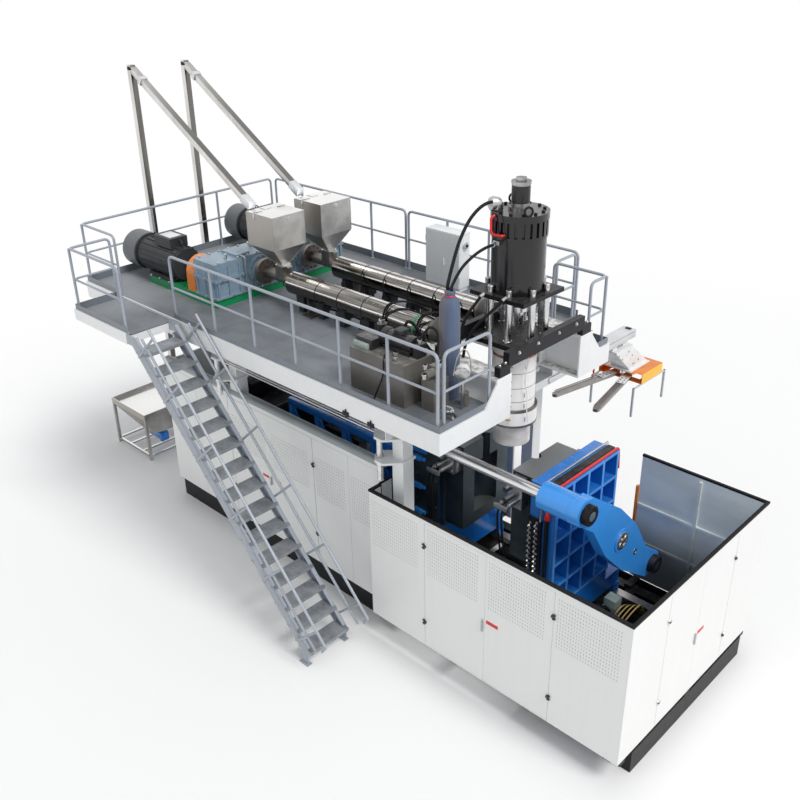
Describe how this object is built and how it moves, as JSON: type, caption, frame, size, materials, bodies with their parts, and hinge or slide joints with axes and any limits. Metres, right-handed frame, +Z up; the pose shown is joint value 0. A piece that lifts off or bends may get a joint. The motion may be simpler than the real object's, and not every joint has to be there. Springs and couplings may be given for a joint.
{
  "type": "blow moulding machine",
  "caption": "Accumulator-head blow moulding machine: extruders and head on a railed platform with stair, blue tie-bar clamp in a white enclosure, take-out arms and floor bin.",
  "frame": {"origin": "on the floor, at the underside of the base, right below the vertical axis of the extrusion head", "axes": "+X along the machine from the extruder drives to the closed end of the clamp enclosure, +Y across to the side away from the stair, +Z up"},
  "size_m": [10.902, 5.8051, 6.59],
  "materials": {
    "white_paint": "satin",
    "panel_white": "satin",
    "base_black": "satin",
    "machined_steel": "machined",
    "chrome_steel": "polished",
    "rim_rubber": "matte",
    "deck_grey": "matte",
    "kick_grey": "satin",
    "rail_grey": "satin",
    "tread_steel": "brushed",
    "green_paint": "gloss",
    "motor_black": "satin",
    "orange_paint": "gloss",
    "gearbox_blue": "satin",
    "dark_steel": "machined",
    "polished_steel": "polished",
    "blower_black": "satin",
    "stainless": "brushed",
    "head_black": "satin",
    "head_cream": "satin",
    "cabinet_grey": "satin",
    "tank_grey": "satin",
    "sleeve_cloth": "woven",
    "hose_rubber": "matte",
    "clamp_blue": "gloss",
    "mould_iron": "machined",
    "robot_aluminium": "satin",
    "robot_white": "satin",
    "arm_grey": "satin"
  },
  "bodies": {
    "machine": {"base_frame": "base_black", "clamp_rails": "machined_steel", "columns": "white_paint", "jack_screws": "chrome_steel", "mid_panels": "panel_white", "encl_walls": "panel_white", "encl_rim": "rim_rubber", "main_beams": "white_paint", "fascia": "white_paint", "deck": "deck_grey", "kick_plates": "kick_grey", "railings": "rail_grey", "stair_stringers": "rail_grey", "stair_treads": "tread_steel", "handrails": "rail_grey", "drive_base": "green_paint", "motors": "motor_black", "coupling_guards": "orange_paint", "gearboxes": "gearbox_blue", "barrels": "dark_steel", "barrel_covers": "polished_steel", "blower_boxes": "blower_black", "hoppers": "stainless", "loader_tubes": "stainless", "floor_bin": "stainless", "head_cylinder": "head_black", "head_cap": "machined_steel", "head_plates": "head_black", "head_rods": "chrome_steel", "head_body": "head_cream", "control_cabinet": "cabinet_grey", "hyd_unit": "tank_grey", "hose_sleeve": "sleeve_cloth", "hoses": "hose_rubber", "robot_beam": "robot_aluminium"},
    "clamp_left": {"platen_left": "clamp_blue", "mould_left": "mould_iron", "side_cylinders_left": "blower_black", "tie_bars": "chrome_steel", "yoke": "clamp_blue"},
    "clamp_right": {"platen_right": "clamp_blue", "mould_right": "mould_iron", "side_cylinders_right": "blower_black"},
    "near_door_a": {"near_door_a": "panel_white"},
    "near_door_b": {"near_door_b": "panel_white"},
    "end_door_a": {"end_door_a": "panel_white"},
    "end_door_b": {"end_door_b": "panel_white"},
    "mid_door_a": {"mid_door_a": "panel_white"},
    "mid_door_b": {"mid_door_b": "panel_white"},
    "hopper_lid_near": {"hopper_lid_near": "stainless"},
    "hopper_lid_far": {"hopper_lid_far": "stainless"},
    "screw_near": {"screw_near": "machined_steel"},
    "screw_far": {"screw_far": "machined_steel"},
    "ram": {"ram": "chrome_steel"},
    "die_pin": {"die_pin": "machined_steel"},
    "panel_door_l": {"panel_door_l": "cabinet_grey"},
    "panel_door_r": {"panel_door_r": "cabinet_grey"},
    "robot_carriage": {"robot_carriage": "robot_white"},
    "grip_arm_a": {"grip_arm_a": "arm_grey"},
    "grip_arm_b": {"grip_arm_b": "arm_grey"}
  },
  "joints": [
    {"name": "clamp_left_slide", "type": "slide", "parent": "machine", "child": "clamp_left", "axis": [1, 0, 0], "range_m": [0, 0.385]},
    {"name": "clamp_right_slide", "type": "slide", "parent": "machine", "child": "clamp_right", "axis": [1, 0, 0], "range_m": [-0.385, 0]},
    {"name": "near_door_a_hinge", "type": "hinge", "parent": "machine", "child": "near_door_a", "pos_m": [-0.005, -1.61, 1.3], "axis": [0, 0, -1], "range_deg": [0, 100]},
    {"name": "near_door_b_hinge", "type": "hinge", "parent": "machine", "child": "near_door_b", "pos_m": [1.843, -1.61, 1.3], "axis": [0, 0, 1], "range_deg": [0, 100]},
    {"name": "end_door_a_hinge", "type": "hinge", "parent": "machine", "child": "end_door_a", "pos_m": [2.781, -0.8485, 1.3], "axis": [0, 0, -1], "range_deg": [0, 100]},
    {"name": "end_door_b_hinge", "type": "hinge", "parent": "machine", "child": "end_door_b", "pos_m": [2.781, 0.6465, 1.3], "axis": [0, 0, 1], "range_deg": [0, 100]},
    {"name": "mid_door_a_hinge", "type": "hinge", "parent": "machine", "child": "mid_door_a", "pos_m": [-4.098, -1.364, 1.4], "axis": [0, 0, -1], "range_deg": [0, 100]},
    {"name": "mid_door_b_hinge", "type": "hinge", "parent": "machine", "child": "mid_door_b", "pos_m": [-2.25, -1.364, 1.4], "axis": [0, 0, 1], "range_deg": [0, 32]},
    {"name": "hopper_lid_near_hinge", "type": "hinge", "parent": "machine", "child": "hopper_lid_near", "pos_m": [-3.92, -0.43, 4.958], "axis": [0, -1, 0], "range_deg": [0, 95]},
    {"name": "hopper_lid_far_hinge", "type": "hinge", "parent": "machine", "child": "hopper_lid_far", "pos_m": [-3.92, 0.43, 4.958], "axis": [0, -1, 0], "range_deg": [0, 95]},
    {"name": "screw_near_turn", "type": "hinge", "parent": "machine", "child": "screw_near", "pos_m": [-2.5, -0.43, 4.02], "axis": [1, 0, 0], "continuous": true},
    {"name": "screw_far_turn", "type": "hinge", "parent": "machine", "child": "screw_far", "pos_m": [-2.5, 0.43, 4.02], "axis": [1, 0, 0], "continuous": true},
    {"name": "ram_slide", "type": "slide", "parent": "machine", "child": "ram", "axis": [0, 0, 1], "range_m": [-0.25, 0]},
    {"name": "die_pin_slide", "type": "slide", "parent": "machine", "child": "die_pin", "axis": [0, 0, 1], "range_m": [-0.015, 0.03]},
    {"name": "panel_door_l_hinge", "type": "hinge", "parent": "machine", "child": "panel_door_l", "pos_m": [-2.788, 1.488, 4.05], "axis": [0, 0, -1], "range_deg": [0, 100]},
    {"name": "panel_door_r_hinge", "type": "hinge", "parent": "machine", "child": "panel_door_r", "pos_m": [-2.137, 1.488, 4.05], "axis": [0, 0, 1], "range_deg": [0, 100]},
    {"name": "robot_carriage_slide", "type": "slide", "parent": "machine", "child": "robot_carriage", "axis": [0, 1, 0], "range_m": [-1.35, 0.1]},
    {"name": "grip_arm_a_hinge", "type": "hinge", "parent": "robot_carriage", "child": "grip_arm_a", "pos_m": [-0.095, 2.56, 2.65], "axis": [0, 0, 1], "range_deg": [0, 13]},
    {"name": "grip_arm_b_hinge", "type": "hinge", "parent": "robot_carriage", "child": "grip_arm_b", "pos_m": [0.095, 2.56, 2.65], "axis": [0, 0, 1], "range_deg": [-13, 0]}
  ],
  "couplings": [
    {"joint": "clamp_right_slide", "follows": "clamp_left_slide", "ratio": -1},
    {"joint": "grip_arm_b_hinge", "follows": "grip_arm_a_hinge", "ratio": -1}
  ]
}
